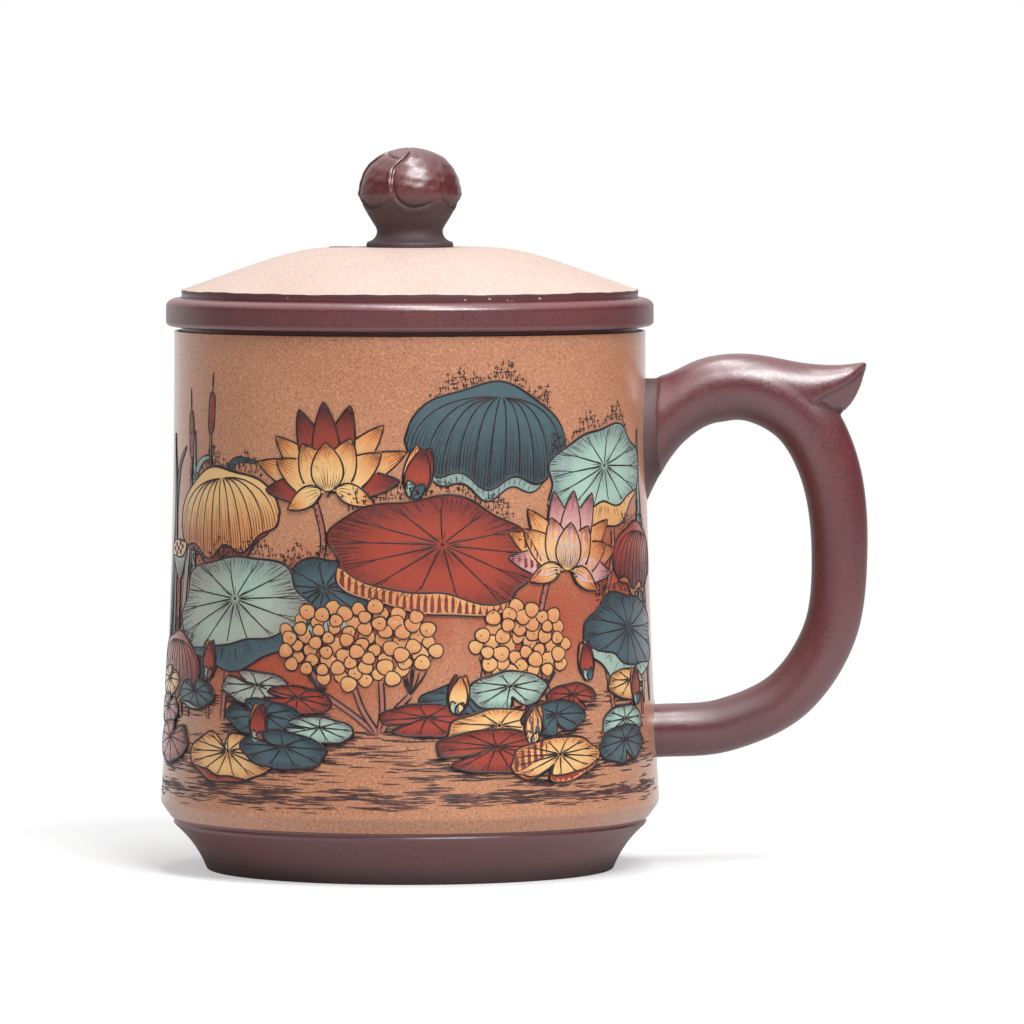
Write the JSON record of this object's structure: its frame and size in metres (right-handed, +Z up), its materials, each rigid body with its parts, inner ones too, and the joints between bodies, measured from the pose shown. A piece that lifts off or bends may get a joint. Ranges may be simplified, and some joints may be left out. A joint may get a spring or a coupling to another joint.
{
  "type": "lidded tea mug with infuser",
  "caption": "Tall lidded clay tea mug with a lift-out clay infuser that hangs on its rim, a domed lid with a bud knob, and a loop handle with a thumb spur.",
  "frame": {"origin": "centre of the foot ring on the plane that the mug stands on, on the axis of the mug's body", "axes": "+Z up along the axis of body, infuser, lid and knob; +X from the axis out through the handle; +Y away from the side that is seen with the handle on the right"},
  "size_m": [0.1245, 0.0878, 0.1268],
  "materials": {
    "purple_clay": "unglazed burnished purple-brown clay, fine grained, soft satin sheen",
    "sand_slip": "unglazed sandy coat with fine light and dark grains, painted in coloured slips",
    "pale_slip": "unglazed pale cream-pink coat, matte and finely speckled"
  },
  "bodies": {
    "mug": {"base_foot": "purple_clay", "mug_wall": "purple_clay", "body_coat": "sand_slip", "handle": "purple_clay"},
    "infuser": {"infuser_collar": "purple_clay", "infuser_wall": "purple_clay", "infuser_floor": "purple_clay"},
    "lid": {"lid_shell": "purple_clay", "lid_coat": "pale_slip", "lid_skirt": "purple_clay", "knob_base": "purple_clay", "knob_bud": "purple_clay", "knob_petals": "purple_clay"}
  },
  "joints": [
    {"name": "infuser_lift", "type": "slide", "parent": "mug", "child": "infuser", "axis": [0, 0, 1], "range_m": [0, 0.08]},
    {"name": "lid_lift", "type": "slide", "parent": "infuser", "child": "lid", "axis": [0, 0, 1], "range_m": [0, 0.04]}
  ]
}
